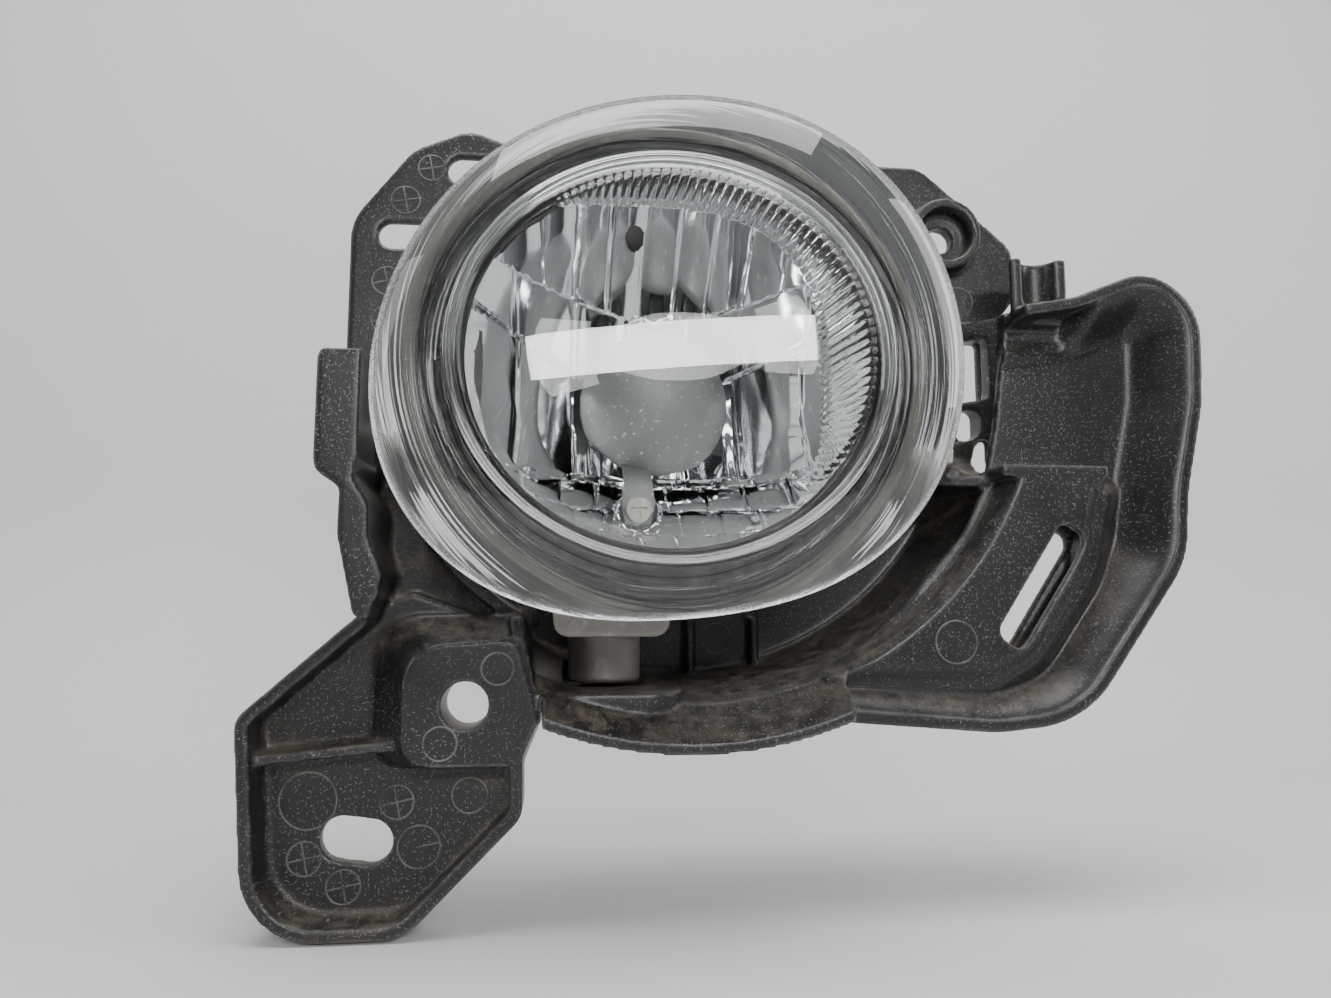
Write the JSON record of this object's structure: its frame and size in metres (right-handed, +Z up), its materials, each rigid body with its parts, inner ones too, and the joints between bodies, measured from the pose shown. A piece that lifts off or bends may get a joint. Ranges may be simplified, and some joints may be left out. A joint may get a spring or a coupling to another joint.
{
  "type": "fog light",
  "caption": "Front fog lamp with an oval clear glass lens, faceted reflector and glare shield, aimed by a screw on a moulded carrier bracket.",
  "frame": {"origin": "centre of the round datum mounting hole, in the plane of the datum pad front face", "axes": "+X to the right and +Z up as seen from in front of the lamp, +Y backwards into the vehicle; the lamp shines along -Y"},
  "size_m": [0.2083, 0.0876, 0.1768],
  "materials": {
    "bracket_plastic": "moulded black glass-filled plastic, fine grain, dusty and rubbed grey on its edges",
    "natural_nylon": "uncoloured moulded nylon",
    "zinc_steel": "zinc-plated steel with a faint yellow tint",
    "spring_steel": "bare spring steel",
    "die_cast_aluminium": "raw die-cast aluminium, dull warm grey with white oxide",
    "reflector_metal": "vacuum-metallised mirror",
    "lens_glass": "clear pressed glass, ground and worn round its rim",
    "sealant": "black cured sealant",
    "shield_grey": "matte grey heat-resistant paint",
    "black_rubber": "black moulded rubber",
    "filter_foam": "white porous filter",
    "bulb_glass": "clear hard glass",
    "tungsten": "drawn tungsten and molybdenum wire",
    "base_plastic": "black heat-resistant moulded plastic",
    "seal_rubber": "brown-orange silicone",
    "brass_terminal": "tin-brass blade"
  },
  "bodies": {
    "carrier": {"bracket": "bracket_plastic", "pivot_bushes": "natural_nylon"},
    "aiming_screw": {"adjuster_screw": "zinc_steel", "adjuster_washer": "zinc_steel", "adjuster_clip": "spring_steel"},
    "aiming_nut": {"adjuster_nut": "natural_nylon"},
    "lamp": {"housing": "die_cast_aluminium", "pivot_screws": "zinc_steel", "reflector": "reflector_metal", "reflector_screws": "zinc_steel", "lens": "lens_glass", "lens_seal": "sealant", "bulb_shield": "shield_grey", "shield_screw": "zinc_steel", "breather_cap": "black_rubber", "breather_filter": "filter_foam"},
    "bulb": {"bulb_envelope": "bulb_glass", "bulb_filament": "tungsten", "bulb_leads": "tungsten", "bulb_collar": "spring_steel", "bulb_base": "base_plastic", "bulb_oring": "seal_rubber", "bulb_terminals": "brass_terminal"}
  },
  "joints": [
    {"name": "lamp_tilt", "type": "hinge", "parent": "carrier", "child": "lamp", "pos_m": [0.04, 0.02, 0.0555], "axis": [1, 0, 0], "range_deg": [-3.5, 3.5]},
    {"name": "aiming_screw_turn", "type": "hinge", "parent": "carrier", "child": "aiming_screw", "pos_m": [0.0286, 0.04, 0.0106], "axis": [0, 1, 0], "range_deg": [-672, 672]},
    {"name": "nut_swivel", "type": "hinge", "parent": "lamp", "child": "aiming_nut", "pos_m": [0.0286, 0.02, 0.0106], "axis": [1, 0, 0], "range_deg": [-3.6, 3.6]},
    {"name": "bulb_twist", "type": "hinge", "parent": "lamp", "child": "bulb", "pos_m": [0.04, 0.044, 0.0675], "axis": [0, 1, 0], "range_deg": [0, 40]}
  ],
  "couplings": [
    {"joint": "aiming_screw_turn", "follows": "lamp_tilt", "ratio": 190},
    {"joint": "nut_swivel", "follows": "lamp_tilt", "ratio": -1}
  ]
}
